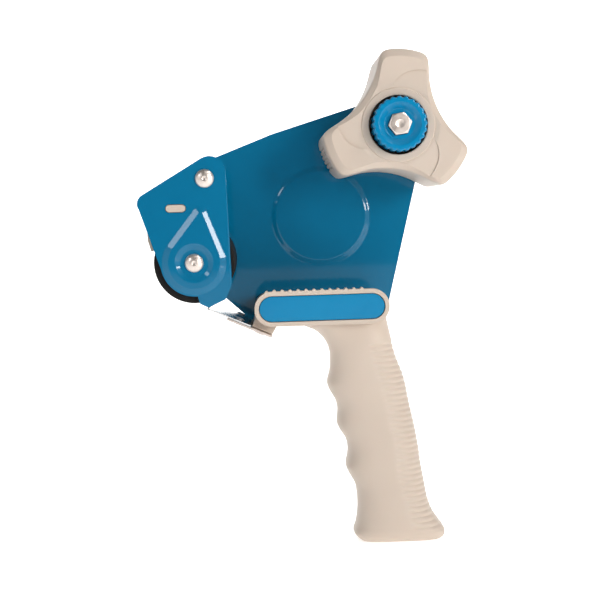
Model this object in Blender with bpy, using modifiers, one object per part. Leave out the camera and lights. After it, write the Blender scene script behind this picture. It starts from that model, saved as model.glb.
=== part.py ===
"""Pistol-grip packing tape dispenser for 50 mm tape on a 76 mm core.

+X runs from the cutter at the front to the heel of the grip, +Y from the open
near side to the frame plate, +Z up. The origin is the centre of the grip's base.
Everything is in metres.
"""
import math

import bmesh
import bpy
from mathutils import Matrix, Vector

# Driving dimensions
GAP = 0.0003              # clearance between pieces that touch
NEAR = -0.027             # outer face of the near cheek
CHEEK = 0.0012            # thickness of the near cheek's sheet
PLATE_IN = 0.026          # inner face of the frame plate
PLATE = 0.0015            # thickness of the frame plate
NEAR_IN = NEAR + CHEEK
PLATE_OUT = PLATE_IN + PLATE

ROLLER_X = -0.101         # roller axle
ROLLER_Z = 0.1485
ROLLER_R = 0.020
SKIRT_R = 0.0165          # the cheeks' lower edge runs round the axle at this radius
TIE_X = -0.0945           # upper tie rivet
TIE_Z = 0.1896
SLOT_X = -0.1091          # guide bar's slot
SLOT_Z = 0.1754
SLOT_LENGTH = 0.0103
SLOT_HEIGHT = 0.0041
FLAP_X = -0.1160          # flap hinge pin
FLAP_Z = 0.1735

HUB_X = 0.0012            # hub axis
HUB_Z = 0.213
HUB_R = 0.0374            # over the lobes; fits a core of 76.2 mm bore
HUB_NEAR = -0.026
HUB_FAR = 0.023
HUB_TURN = 83.0           # direction of the first lobe, degrees from +X
BOLT_R = 0.003            # M6
KNOB_R = 0.014
KNOB_FRONT = -0.0335
KNOB_BACK = -0.0200

BLOCK_X0 = -0.0723        # cross block, a stadium in side view
BLOCK_X1 = -0.0048
BLOCK_Z = 0.124
BLOCK_H = 0.0174
BLOCK_NEAR = -0.022
BLOCK_DROP = 0.0032       # how far the block's top steps down behind its ribbed rim
BLOCK_RIM_BACK = -0.0170  # where that step stands
BLOCK_FAR = PLATE_IN - GAP
RIM = 0.0021              # rim round the inset panel
WALL = 0.0025             # handle shell
FLOOR = 0.0026            # base wall of the grip

BLADE_X = -0.0958         # tip of the cutter's teeth
BLADE_Z = 0.1253
BLADE_SLOPE = math.radians(-24)
BLADE_T = 0.0007
CARRIER_T = 0.0010
BLADE_NEAR = -0.0235
BLADE_FAR = 0.0250

# Front and back edges of the grip in side view, as (height, x)
GRIP_FRONT = [
    (0.0000, -0.0205), (0.0023, -0.0229), (0.0045, -0.0242), (0.0088, -0.0231), (0.0157, -0.0220),
    (0.0226, -0.0220), (0.0295, -0.0229), (0.0361, -0.0262), (0.0398, -0.0275), (0.0477, -0.0263),
    (0.0539, -0.0273), (0.0595, -0.0306), (0.0627, -0.0316), (0.0695, -0.0311), (0.0743, -0.0321),
    (0.0797, -0.0350), (0.0836, -0.0361), (0.0896, -0.0347), (0.0950, -0.0342), (0.1011, -0.0347),
    (0.1066, -0.0372), (0.1110, -0.0417), (0.1132, -0.0466), (0.1200, -0.0600),
]
GRIP_BACK = [
    (0.0000, 0.0210), (0.0021, 0.0228), (0.0051, 0.0229), (0.0092, 0.0203), (0.0141, 0.0172),
    (0.0211, 0.0147), (0.0292, 0.0133), (0.0399, 0.0115), (0.0543, 0.0097), (0.0713, 0.0064),
    (0.0862, 0.0035), (0.0968, -0.0003), (0.1047, -0.0022), (0.1147, -0.0043), (0.1200, -0.0054),
]
GRIP_WIDTH = [(0.0000, 0.0140), (0.0060, 0.0156), (0.0200, 0.0148), (0.0600, 0.0150), (0.1200, 0.0152)]

BLOCK_SCREWS = [(-0.0590, BLOCK_Z), (-0.0385, BLOCK_Z), (-0.0180, BLOCK_Z)]
GRIP_SCREWS = [(-0.0160, 0.0860), (-0.0060, 0.0300)]
SCREW_R = 0.0017

for old in list(bpy.data.objects):
    bpy.data.objects.remove(old, do_unlink=True)

parts = bpy.data.collections.new("tape_dispenser")
cutters = bpy.data.collections.new("cutters")
bpy.context.scene.collection.children.link(parts)
bpy.context.scene.collection.children.link(cutters)


def material(name, color, roughness, metallic=0.0):
    mat = bpy.data.materials.new(name)
    mat.use_nodes = True
    shader = mat.node_tree.nodes["Principled BSDF"]
    shader.inputs["Base Color"].default_value = (*color, 1.0)
    shader.inputs["Roughness"].default_value = roughness
    shader.inputs["Metallic"].default_value = metallic
    mat.diffuse_color = (*color, 1.0)
    return mat


def smooth(obj, angle=35):
    obj.data.shade_smooth()
    obj.data.set_sharp_from_angle(angle=math.radians(angle))


def add_part(obj, mat):
    """Moves an object into the part collection and gives it its material."""
    for home in list(obj.users_collection):
        home.objects.unlink(obj)
    parts.objects.link(obj)
    obj.data.materials.clear()
    obj.data.materials.append(mat)
    return obj


def add_cutter(obj):
    for home in list(obj.users_collection):
        home.objects.unlink(obj)
    cutters.objects.link(obj)
    obj.hide_render = True
    obj.display_type = "WIRE"
    return obj


def combine(obj, other, operation):
    mod = obj.modifiers.new(operation.lower(), "BOOLEAN")
    mod.operation = operation
    mod.solver = "EXACT"
    mod.object = add_cutter(other)


def mesh_object(name, bm):
    mesh = bpy.data.meshes.new(name)
    bmesh.ops.recalc_face_normals(bm, faces=bm.faces)
    bm.to_mesh(mesh)
    bm.free()
    obj = bpy.data.objects.new(name, mesh)
    parts.objects.link(obj)
    return obj


def box(name, low, high):
    bm = bmesh.new()
    bmesh.ops.create_cube(bm, size=1.0)
    low, high = Vector(low), Vector(high)
    bmesh.ops.scale(bm, vec=high - low, verts=bm.verts)
    bmesh.ops.translate(bm, vec=(low + high) / 2, verts=bm.verts)
    return mesh_object(name, bm)


def arc(cx, cz, radius, start, end, steps):
    """Points of an arc in side view, angles in degrees."""
    turns = [math.radians(start + (end - start) * i / steps) for i in range(steps + 1)]
    return [(cx + radius * math.cos(a), cz + radius * math.sin(a)) for a in turns]


def rounded(corners, steps=4):
    """An outline from (x, z, radius) corners, each rounded by its radius."""
    points = []
    for i, (x, z, radius) in enumerate(corners):
        here = Vector((x, z))
        if not radius:
            points.append((x, z))
            continue
        before = (Vector(corners[i - 1][:2]) - here).normalized()
        after = (Vector(corners[(i + 1) % len(corners)][:2]) - here).normalized()
        half = before.angle(after) / 2
        middle = here + (before + after).normalized() * radius / math.sin(half)
        first = here + before * radius / math.tan(half) - middle
        last = here + after * radius / math.tan(half) - middle
        sweep = math.atan2(first.x * last.y - first.y * last.x, first.dot(last))
        for k in range(steps + 1):
            spoke = Matrix.Rotation(sweep * k / steps, 2) @ first
            points.append(tuple(middle + spoke))
    return points


def stadium(x0, x1, z, height, steps=8):
    radius = height / 2
    right = arc(x1 - radius, z, radius, -90, 90, steps)
    left = arc(x0 + radius, z, radius, 90, 270, steps)
    return right + left


def extruded(name, loops, y0, y1):
    """A flat outline in side view, with holes as further loops, from y0 to y1."""
    curve = bpy.data.curves.new(name, "CURVE")
    curve.dimensions = "2D"
    curve.fill_mode = "BOTH"
    curve.extrude = (y1 - y0) / 2
    for loop in loops:
        spline = curve.splines.new("POLY")
        spline.points.add(len(loop) - 1)
        for point, (x, z) in zip(spline.points, loop):
            point.co = (x, z, 0.0, 1.0)
        spline.use_cyclic_u = True
    flat = bpy.data.objects.new(name + "_curve", curve)
    flat.location.y = (y0 + y1) / 2
    flat.rotation_euler.x = math.radians(90)
    return solid_from_curve(name, flat)


def solid_from_curve(name, flat):
    """Turns a curve object into a closed mesh object in the same place."""
    bpy.context.scene.collection.objects.link(flat)
    bpy.context.view_layer.update()
    graph = bpy.context.evaluated_depsgraph_get()
    mesh = bpy.data.meshes.new_from_object(flat.evaluated_get(graph))
    bm = bmesh.new()
    bm.from_mesh(mesh)
    bmesh.ops.remove_doubles(bm, verts=bm.verts, dist=0.00001)
    bmesh.ops.recalc_face_normals(bm, faces=bm.faces)
    bm.to_mesh(mesh)
    bm.free()
    mesh.name = name
    obj = bpy.data.objects.new(name, mesh)
    obj.matrix_world = flat.matrix_world.copy()
    parts.objects.link(obj)
    curve = flat.data
    bpy.data.objects.remove(flat)
    bpy.data.curves.remove(curve)
    return obj


def turned(name, x, z, profile, segments=24, closed=False):
    """A turned piece round an axis along Y; profile is (radius, y), from the far end
    down the outer side to the near end."""
    bm = bmesh.new()
    points = [bm.verts.new((radius, 0.0, y)) for radius, y in profile]
    for first, second in zip(points, points[1:]):
        bm.edges.new((first, second))
    if closed:
        bm.edges.new((points[-1], points[0]))
    mesh = bpy.data.meshes.new(name)
    bm.to_mesh(mesh)
    bm.free()
    obj = bpy.data.objects.new(name, mesh)
    parts.objects.link(obj)
    screw = obj.modifiers.new("turn", "SCREW")
    screw.axis = "Z"
    screw.steps = segments
    screw.render_steps = segments
    screw.use_merge_vertices = True
    screw.merge_threshold = 0.00001
    obj.location = (x, 0.0, z)
    obj.rotation_euler.x = math.radians(-90)
    return obj


def pin(name, x, z, radius, y0, y1, segments=16):
    return turned(name, x, z, [(0, y1), (radius, y1), (radius, y0), (0, y0)], segments)


def tube(name, x, z, outer, inner, y0, y1, segments=24):
    profile = [(outer, y1), (outer, y0), (inner, y0), (inner, y1)]
    return turned(name, x, z, profile, segments, closed=True)


def wire(name, points, radius, resolution=2):
    """A round wire through the points, with flat ends."""
    curve = bpy.data.curves.new(name, "CURVE")
    curve.dimensions = "3D"
    curve.bevel_depth = radius
    curve.bevel_resolution = resolution
    curve.use_fill_caps = True
    spline = curve.splines.new("POLY")
    spline.points.add(len(points) - 1)
    for point, place in zip(spline.points, points):
        point.co = (*place, 1.0)
    return solid_from_curve(name, bpy.data.objects.new(name + "_curve", curve))


def through(table, height):
    """Smooth value at a height from a table of (height, value), by Catmull-Rom."""
    last = len(table) - 2
    i = max(k for k in range(last + 1) if k == 0 or table[k][0] <= height)
    (z1, v1), (z2, v2) = table[i], table[i + 1]
    z0, v0 = table[max(i - 1, 0)]
    z3, v3 = table[min(i + 2, last + 1)]
    t = (height - z1) / (z2 - z1)
    m1 = (v2 - v0) / (z2 - z0) * (z2 - z1)
    m2 = (v3 - v1) / (z3 - z1) * (z2 - z1)
    a = 2 * t ** 3 - 3 * t ** 2 + 1
    b = t ** 3 - 2 * t ** 2 + t
    c = 3 * t ** 2 - 2 * t ** 3
    d = t ** 3 - t ** 2
    return a * v1 + b * m1 + c * v2 + d * m2


def grip_solid(name, inset, z0, z1, rings, around=20):
    """The grip as a loft of rounded sections; inset gives its hollow."""
    bm = bmesh.new()
    loops = []
    for i in range(rings + 1):
        z = z0 + (z1 - z0) * i / rings
        front = through(GRIP_FRONT, z) + inset
        back = through(GRIP_BACK, z) - inset
        half = through(GRIP_WIDTH, z) - inset
        loop = []
        for k in range(around):
            a = 2 * math.pi * (k + 0.5) / around
            c, s = math.cos(a), math.sin(a)
            x = (front + back) / 2 + (back - front) / 2 * math.copysign(abs(c) ** 0.75, c)
            y = half * math.copysign(abs(s) ** 0.75, s)
            loop.append(bm.verts.new((x, y, z)))
        loops.append(loop)
    for low, high in zip(loops, loops[1:]):
        for k in range(around):
            n = (k + 1) % around
            bm.faces.new((low[k], low[n], high[n], high[k]))
    bm.faces.new(reversed(loops[0]))
    bm.faces.new(loops[-1])
    return mesh_object(name, bm)


def on_blade(along, up):
    """A point in side view, measured along the blade from its tip and up from it."""
    c, s = math.cos(BLADE_SLOPE), math.sin(BLADE_SLOPE)
    return (BLADE_X + along * c - up * s, BLADE_Z + along * s + up * c)


def square_to_blade(name, along, y, profile):
    """A turned piece square to the blade's sheet; profile is (radius, height), top to bottom."""
    obj = turned(name, 0, 0, profile, 16)
    x, z = on_blade(along, 0)
    obj.location = (x, y, z)
    obj.rotation_euler = (0, -BLADE_SLOPE, 0)
    return obj


blue_paint = material("blue_painted_steel", (0.003, 0.13, 0.30), 0.32, 0.0)
beige_abs = material("beige_moulded_plastic", (0.66, 0.56, 0.47), 0.5)
blue_abs = material("blue_moulded_plastic", (0.003, 0.24, 0.50), 0.4)
rubber = material("black_rubber", (0.012, 0.010, 0.009), 0.7)
steel = material("plated_steel", (0.62, 0.58, 0.55), 0.3, 1.0)
spring_steel = material("spring_steel", (0.35, 0.34, 0.33), 0.35, 1.0)
grey_abs = material("grey_moulded_plastic", (0.20, 0.20, 0.20), 0.5)
fibre = material("friction_fibre", (0.10, 0.07, 0.05), 0.85)
brass = material("brass", (0.70, 0.48, 0.20), 0.35, 1.0)


# Side sheets ---------------------------------------------------------------

DROP_R = 0.0140           # embossing round the roller axle
DROP_TIP_R = 0.0020
DROP_TIP_X = -0.0972
DROP_TIP_Z = 0.1725
LEFT_CORNER = (-0.1292, 0.1807, 0.003)


def hole(x, z, radius, steps=16, turn=0):
    return arc(x, z, radius, turn, turn + 360 * (steps - 1) / steps, steps - 1)


def slot_hole():
    return stadium(SLOT_X - SLOT_LENGTH / 2, SLOT_X + SLOT_LENGTH / 2, SLOT_Z, SLOT_HEIGHT, 5)


def teardrop(grow):
    """The embossing's edge: a circle round the roller axle drawn out to a small tip."""
    big, small = DROP_R + grow, DROP_TIP_R + grow
    run = math.hypot(DROP_TIP_X - ROLLER_X, DROP_TIP_Z - ROLLER_Z)
    lean = math.degrees(math.atan2(DROP_TIP_Z - ROLLER_Z, DROP_TIP_X - ROLLER_X))
    touch = math.degrees(math.acos((big - small) / run))
    return (arc(ROLLER_X, ROLLER_Z, big, lean + touch, lean - touch + 360, 20)
            + arc(DROP_TIP_X, DROP_TIP_Z, small, lean - touch, lean + touch, 6))


def near_cheek():
    skirt = arc(ROLLER_X, ROLLER_Z, SKIRT_R, -86, -170, 10)
    corners = rounded([LEFT_CORNER, (-0.0843, 0.2062, 0.008), (-0.0828, 0.1375, 0.002),
                       (-0.0862, 0.1302, 0.002), (-0.0947, 0.1263, 0.0015),
                       (-0.0988, 0.1283, 0.0008), (*skirt[0], 0)])
    outline = corners[:-1] + skirt
    holes = [hole(TIE_X, TIE_Z, BOLT_R + GAP), hole(ROLLER_X, ROLLER_Z, BOLT_R + GAP), slot_hole()]
    sheet = extruded("near_cheek", [outline] + holes, NEAR, NEAR_IN)
    boss = extruded("cheek_boss", [teardrop(0), hole(ROLLER_X, ROLLER_Z, 0.0088, 28)],
                    NEAR - 0.0010, NEAR + 0.0004)
    hollow = extruded("cheek_hollow", [teardrop(-0.0012), hole(ROLLER_X, ROLLER_Z, 0.0100, 28)],
                      NEAR + 0.0002, NEAR_IN + 0.001)
    lip = box("cheek_lip", (-0.0848, NEAR + 0.0002, 0.1400), (-0.0836, NEAR + 0.0024, 0.1935))
    combine(sheet, boss, "UNION")
    combine(sheet, hollow, "DIFFERENCE")
    combine(sheet, lip, "UNION")
    add_part(sheet, blue_paint)


def frame_plate():
    skirt = arc(ROLLER_X, ROLLER_Z, SKIRT_R, -67, -170, 10)
    corners = rounded([LEFT_CORNER, (-0.0920, 0.20185, 0.020), (-0.0607, 0.2136, 0.030),
                       (0.0293, 0.2404, 0.020), (-0.0020, 0.1140, 0.002),
                       (-0.0720, 0.1126, 0.0015), (*skirt[0], 0)], 5)
    outline = corners[:-1] + skirt
    bores = [hole(TIE_X, TIE_Z, BOLT_R + GAP), hole(ROLLER_X, ROLLER_Z, BOLT_R + GAP),
             hole(HUB_X, HUB_Z, BOLT_R + GAP), slot_hole()]
    bores += [hole(x, z, SCREW_R + GAP, 12, 5 * i) for i, (x, z) in enumerate(BLOCK_SCREWS)]
    sheet = extruded("frame_plate", [outline] + bores, PLATE_IN, PLATE_OUT)
    dish_x, dish_z, dish_r = -0.0355, 0.1696, 0.0262
    dish = turned("plate_dish", dish_x, dish_z,
                  [(0, PLATE_IN + 0.0002), (dish_r, PLATE_IN + 0.0002),
                   (dish_r - 0.002, PLATE_IN - 0.0007), (0, PLATE_IN - 0.0007)], 40)
    hollow = turned("plate_dish_back", dish_x, dish_z,
                    [(0, PLATE_OUT + 0.001), (dish_r - 0.0005, PLATE_OUT + 0.001),
                     (dish_r - 0.0005, PLATE_OUT), (dish_r - 0.0025, PLATE_OUT - 0.0007),
                     (0, PLATE_OUT - 0.0007)], 40)
    combine(sheet, dish, "UNION")
    combine(sheet, hollow, "DIFFERENCE")
    add_part(sheet, blue_paint)


# Tie rivet, roller and guide ------------------------------------------------

def rivet(name, x, z):
    """A rivet with two domed heads, across both side sheets."""
    head, rise = 0.0046, 0.0022
    near, far = NEAR - GAP, PLATE_OUT + GAP
    far_dome = [(head * math.sin(t), far + rise * math.cos(t))
                for t in [math.radians(a) for a in (0, 25, 50, 72, 90)]]
    near_dome = [(head * math.sin(t), near - rise * math.cos(t))
                 for t in [math.radians(a) for a in (90, 72, 50, 25, 0)]]
    profile = far_dome + [(BOLT_R, far), (BOLT_R, near)] + near_dome
    obj = turned(name, x, z, profile, 20)
    smooth(obj)
    return add_part(obj, steel)


def roller():
    half = 0.0243
    middle = (NEAR_IN + PLATE_IN) / 2
    y0, y1 = middle - half, middle + half
    core_r, rim, boss = 0.0166, 0.0148, 0.0062
    bore = BOLT_R + GAP
    web = 0.0015
    core = turned("roller_core", ROLLER_X, ROLLER_Z,
                  [(core_r, y1), (core_r, y0), (rim, y0), (rim, middle - web), (boss, middle - web),
                   (boss, y0), (bore, y0), (bore, y1), (boss, y1), (boss, middle + web),
                   (rim, middle + web), (rim, y1)], 24, closed=True)
    smooth(core)
    add_part(core, grey_abs)
    sleeve = turned("roller_sleeve", ROLLER_X, ROLLER_Z,
                    [(ROLLER_R - 0.0005, y1), (ROLLER_R, y1 - 0.0005), (ROLLER_R, y0 + 0.0005),
                     (ROLLER_R - 0.0005, y0), (core_r + GAP, y0), (core_r + GAP, y1)],
                    48, closed=True)
    smooth(sleeve)
    add_part(sleeve, rubber)
    for side, low, high in (("near", NEAR_IN + GAP, y0 - GAP), ("far", y1 + GAP, PLATE_IN - GAP)):
        washer = tube("roller_washer_" + side, ROLLER_X, ROLLER_Z, 0.0060, bore, low, high, 16)
        add_part(washer, steel)


def upper_spacer():
    obj = tube("upper_spacer", TIE_X, TIE_Z, 0.0050, BOLT_R + GAP, NEAR_IN + GAP, PLATE_IN - GAP)
    smooth(obj)
    add_part(obj, steel)


def guide_bar():
    """A moulded bar between the cheeks, with a lug in each slot and ears for the flap pin."""
    bar = rounded([(SLOT_X - 0.0066, SLOT_Z - 0.0030, 0.001), (SLOT_X - 0.0066, SLOT_Z + 0.0036, 0.0015),
                   (SLOT_X + 0.0075, SLOT_Z + 0.0036, 0.0015), (SLOT_X + 0.0075, SLOT_Z - 0.0030, 0.001)])
    body = extruded("guide_bar", [bar], NEAR_IN + GAP, PLATE_IN - GAP)
    lug = stadium(SLOT_X - SLOT_LENGTH / 2 + GAP, SLOT_X + SLOT_LENGTH / 2 - GAP, SLOT_Z,
                  SLOT_HEIGHT - 2 * GAP, 5)
    combine(body, extruded("guide_lugs", [lug], NEAR, PLATE_OUT), "UNION")
    ear = rounded([(SLOT_X - 0.0030, SLOT_Z + 0.0030, 0.001), (SLOT_X - 0.0030, SLOT_Z - 0.0026, 0.001),
                   (FLAP_X + 0.0010, FLAP_Z - 0.0026, 0.002), (FLAP_X - 0.0026, FLAP_Z - 0.0026, 0.002),
                   (FLAP_X - 0.0026, FLAP_Z + 0.0049, 0.002)])
    for side, (low, high) in enumerate(((-0.0240, -0.0200), (0.0200, 0.0240))):
        combine(body, extruded("guide_ear_%d" % side, [ear], low, high), "UNION")
    relief = pin("guide_relief", FLAP_X, FLAP_Z, 0.0036, -0.0196, 0.0196, 24)
    combine(body, relief, "DIFFERENCE")
    combine(body, pin("guide_bore", FLAP_X, FLAP_Z, 0.0010 + GAP, -0.030, 0.030, 16), "DIFFERENCE")
    add_part(body, beige_abs)


def flap():
    """The curved flap that holds the tape on the roller, and its hinge pin and spring."""
    hinge = pin("flap_pin", FLAP_X, FLAP_Z, 0.0010, -0.0252, 0.0252, 16)
    smooth(hinge)
    add_part(hinge, steel)

    thick = 0.0012
    spine = [(FLAP_X - 0.0016, FLAP_Z - 0.0004), (-0.1196, 0.1714), (-0.1220, 0.1680), (-0.1231, 0.1640),
             (-0.1229, 0.1600), (-0.1220, 0.1568), (-0.1214, 0.1548)]
    outer, inner = [], []
    for i, (x, z) in enumerate(spine):
        before = Vector(spine[max(i - 1, 0)])
        after = Vector(spine[min(i + 1, len(spine) - 1)])
        run = (after - before).normalized()
        side = Vector((-run.y, run.x)) * thick / 2
        outer.append((x - side.x, z - side.y))
        inner.append((x + side.x, z + side.y))
    blade = extruded("tape_flap", [outer + inner[::-1]], -0.0192, 0.0192)
    low = extruded("flap_low", [outer[2:] + inner[2:][::-1]], -0.0240, 0.0240)
    combine(blade, low, "UNION")
    for side, (y0, y1) in enumerate(((-0.0192, -0.0060), (0.0060, 0.0192))):
        combine(blade, pin("flap_knuckle_%d" % side, FLAP_X, FLAP_Z, 0.0023, y0, y1, 20), "UNION")
    notch = box("flap_notch", (FLAP_X - 0.0052, -0.0058, FLAP_Z - 0.0040),
                (FLAP_X + 0.0040, 0.0058, FLAP_Z + 0.0040))
    combine(blade, notch, "DIFFERENCE")
    combine(blade, pin("flap_bore", FLAP_X, FLAP_Z, 0.0010 + GAP, -0.030, 0.030, 16), "DIFFERENCE")
    smooth(blade, 50)
    add_part(blade, beige_abs)

    turns, per_turn, coil_r, coil_w, gauge = 5, 12, 0.0021, 0.0080, 0.0004
    points = [(FLAP_X + 0.0034, -coil_w / 2, FLAP_Z - 0.0014)]
    for i in range(turns * per_turn + 1):
        a = 2 * math.pi * i / per_turn
        y = -coil_w / 2 + coil_w * i / (turns * per_turn)
        points.append((FLAP_X + coil_r * math.sin(a), y, FLAP_Z - coil_r * math.cos(a)))
    points.append((FLAP_X - 0.0032, coil_w / 2, FLAP_Z - coil_r - 0.0004))
    coil = wire("flap_spring", points, gauge, 1)
    smooth(coil, 60)
    add_part(coil, spring_steel)


# Cutter ---------------------------------------------------------------------

RIVETS_S = 0.0170         # along the blade from its tip
RIVETS_Y = (-0.0140, 0.0160)
SCREWS_S = 0.0290
SCREWS_Y = (-0.0100, 0.0160)


def cutter():
    teeth, tooth = 24, 0.0012
    width = BLADE_FAR - BLADE_NEAR
    step = width / teeth
    length = 0.0232
    outline = [(length, BLADE_FAR), (length, BLADE_NEAR)]
    for i in range(teeth):
        y = BLADE_NEAR + step * i
        outline += [(tooth, y), (0.0, y + step / 2)]
    outline.append((tooth, BLADE_FAR))
    holes = [arc(RIVETS_S, y, 0.0018, 0, 337.5, 15) for y in RIVETS_Y]
    # The sheet is drawn in plan, then tipped to the blade's slope.
    blade = plan_sheet("cutter_blade", [outline] + holes, 0.0, BLADE_T)
    add_part(blade, steel)

    back = 0.0350
    plate = [(0.0110, BLADE_NEAR), (back, BLADE_NEAR), (back, BLADE_FAR), (0.0110, BLADE_FAR)]
    holes += [arc(SCREWS_S, y, SCREW_R + GAP, 0, 337.5, 15) for y in SCREWS_Y]
    carrier = plan_sheet("blade_carrier", [plate] + holes, -GAP - CARRIER_T, -GAP)
    add_part(carrier, steel)

    under = -GAP - CARRIER_T - GAP
    head, rise = BLADE_T + GAP, 0.0005
    shank, flange = 0.0015, 0.0026
    rivet_profile = [(0, head + rise), (shank, head + rise), (flange, head), (shank, head),
                     (shank, under), (flange, under), (shank, under - rise), (0, under - rise)]
    screw_profile = [(0, 0.0052), (SCREW_R, 0.0052), (SCREW_R, under), (0.0030, under),
                     (0.0030, under - 0.0008), (0.0022, under - 0.0013), (0, under - 0.0013)]
    for i, y in enumerate(RIVETS_Y):
        obj = square_to_blade("blade_rivet_%d" % (i + 1), RIVETS_S, y, rivet_profile)
        add_part(obj, steel)
    for i, y in enumerate(SCREWS_Y):
        obj = square_to_blade("carrier_screw_%d" % (i + 1), SCREWS_S, y, screw_profile)
        add_part(obj, steel)


def plan_sheet(name, loops, low, high):
    """A sheet drawn as (along the blade, y), from low to high above the blade's underside."""
    curve = bpy.data.curves.new(name, "CURVE")
    curve.dimensions = "2D"
    curve.fill_mode = "BOTH"
    curve.extrude = (high - low) / 2
    for loop in loops:
        spline = curve.splines.new("POLY")
        spline.points.add(len(loop) - 1)
        for point, (s, y) in zip(spline.points, loop):
            point.co = (s, y, 0.0, 1.0)
        spline.use_cyclic_u = True
    flat = bpy.data.objects.new(name + "_curve", curve)
    x, z = on_blade(0, (low + high) / 2)
    flat.location = (x, 0, z)
    flat.rotation_euler.y = -BLADE_SLOPE
    return solid_from_curve(name, flat)


# Handle ---------------------------------------------------------------------

def block_outline():
    """The cross block in side view, with thirteen small ribs along its top."""
    radius = BLOCK_H / 2
    left_x = BLOCK_X0 + radius
    ribs, first, pitch, rise = 13, -0.0662, 0.00398, 0.0008

    def top(x):
        return BLOCK_Z + math.sqrt(radius ** 2 - min(x - left_x, 0.0) ** 2)

    outline = arc(BLOCK_X1 - radius, BLOCK_Z, radius, -90, 90, 10)
    for i in reversed(range(ribs)):
        x = first + pitch * i
        outline += [(x + 0.0010, top(x + 0.0010)), (x + 0.0004, top(x) + rise),
                    (x - 0.0004, top(x) + rise), (x - 0.0010, top(x - 0.0010))]
    start = math.degrees(math.acos((first - 0.0010 - left_x) / radius))
    return outline + arc(left_x, BLOCK_Z, radius, start, 270, 8)[1:]


def handle_half(name, keep, far_side):
    body = grip_solid(name, 0.0, 0.0, 0.118, 26)
    low_z, low_h = BLOCK_Z - BLOCK_DROP / 2, BLOCK_H - BLOCK_DROP
    behind = stadium(BLOCK_X0, BLOCK_X1, low_z, low_h, 12)
    block = extruded(name + "_block", [behind], BLOCK_RIM_BACK - 0.001, BLOCK_FAR)
    combine(body, extruded(name + "_rim", [block_outline()], BLOCK_NEAR, BLOCK_RIM_BACK), "UNION")
    nose = [on_blade(0.0242, 0.0), on_blade(0.0350, 0.0), (-0.0620, 0.1140), (-0.0600, 0.1200),
            (-0.0700, 0.1230)]
    combine(body, block, "UNION")
    combine(body, extruded(name + "_nose", [nose], -0.0170, 0.0240), "UNION")

    hollow = grip_solid(name + "_hollow", WALL, FLOOR, 0.1192, 13, 12)
    inner = stadium(BLOCK_X0 + WALL, BLOCK_X1 - WALL, low_z, low_h - 2 * WALL)
    room = extruded(name + "_room", [inner], BLOCK_NEAR + 0.0045, BLOCK_FAR - WALL)
    combine(hollow, room, "UNION")
    for i, (x, z) in enumerate(BLOCK_SCREWS + GRIP_SCREWS):
        combine(hollow, pin(name + "_boss_%d" % i, x, z, 0.0042, -0.030, 0.030, 16), "DIFFERENCE")
    combine(body, hollow, "DIFFERENCE")

    if far_side:
        for i, (x, z) in enumerate(BLOCK_SCREWS + GRIP_SCREWS):
            bore = pin(name + "_bore_%d" % i, x, z, SCREW_R + GAP, -0.030, 0.030, 16)
            combine(body, bore, "DIFFERENCE")
        for i, (x, z) in enumerate(GRIP_SCREWS):
            seat = pin(name + "_seat_%d" % i, x, z, 0.0036, 0.0080, 0.030, 20)
            combine(body, seat, "DIFFERENCE")
    else:
        panel = stadium(BLOCK_X0 + RIM, BLOCK_X1 - RIM, BLOCK_Z, BLOCK_H - 2 * RIM, 12)
        combine(body, extruded(name + "_recess", [panel], BLOCK_NEAR - 0.001, BLOCK_NEAR + 0.0020),
                "DIFFERENCE")
        for i, (x, z) in enumerate(BLOCK_SCREWS + GRIP_SCREWS):
            deep = -0.0160 if (x, z) in BLOCK_SCREWS else -0.0090
            bore = pin(name + "_bore_%d" % i, x, z, SCREW_R + GAP, deep, 0.030, 16)
            combine(body, bore, "DIFFERENCE")
    bore_r = SCREW_R + GAP
    for i, y in enumerate(SCREWS_Y):
        bore = square_to_blade(name + "_carrier_bore_%d" % i, SCREWS_S, y,
                               [(0, 0.0056), (bore_r, 0.0056), (bore_r, -0.002), (0, -0.002)])
        combine(body, bore, "DIFFERENCE")
    combine(body, keep, "INTERSECT")
    smooth(body, 40)
    add_part(body, beige_abs)


def handle():
    joint = GAP / 2
    wide, tall = 0.09, 0.16
    near_keep = box("keep_near", (-wide, -0.05, -0.01), (wide, -joint, tall))
    foot = box("keep_foot", (-wide, -0.06, -0.02), (wide, 0.05, FLOOR + 0.0003))
    combine(near_keep, foot, "UNION")
    handle_half("handle_near_half", near_keep, False)
    far_keep = box("keep_far", (-wide, joint, FLOOR + 0.0006), (wide, 0.05, tall))
    handle_half("handle_far_half", far_keep, True)

    inset = RIM + GAP
    panel = stadium(BLOCK_X0 + inset, BLOCK_X1 - inset, BLOCK_Z, BLOCK_H - 2 * inset, 12)
    oval = extruded("oval_panel", [panel], BLOCK_NEAR + 0.0006, BLOCK_NEAR + 0.0020 - GAP)
    add_part(oval, blue_abs)

    for i, (x, z) in enumerate(BLOCK_SCREWS):
        add_part(screw_along_y("block_screw_%d" % (i + 1), x, z, PLATE_OUT + GAP, -0.0155), steel)
    for i, (x, z) in enumerate(GRIP_SCREWS):
        add_part(screw_along_y("grip_screw_%d" % (i + 1), x, z, 0.0080 + GAP, -0.0085), steel)


def screw_along_y(name, x, z, seat, tip):
    """A pan-head screw driven from the far side, its head resting on seat."""
    head = 0.0033
    profile = [(0, seat + 0.0022), (head * 0.75, seat + 0.0020), (head, seat + 0.0010),
               (head, seat), (SCREW_R, seat), (SCREW_R, tip), (0, tip)]
    obj = turned(name, x, z, profile, 20)
    smooth(obj)
    return obj


# Hub and brake ---------------------------------------------------------------

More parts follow.
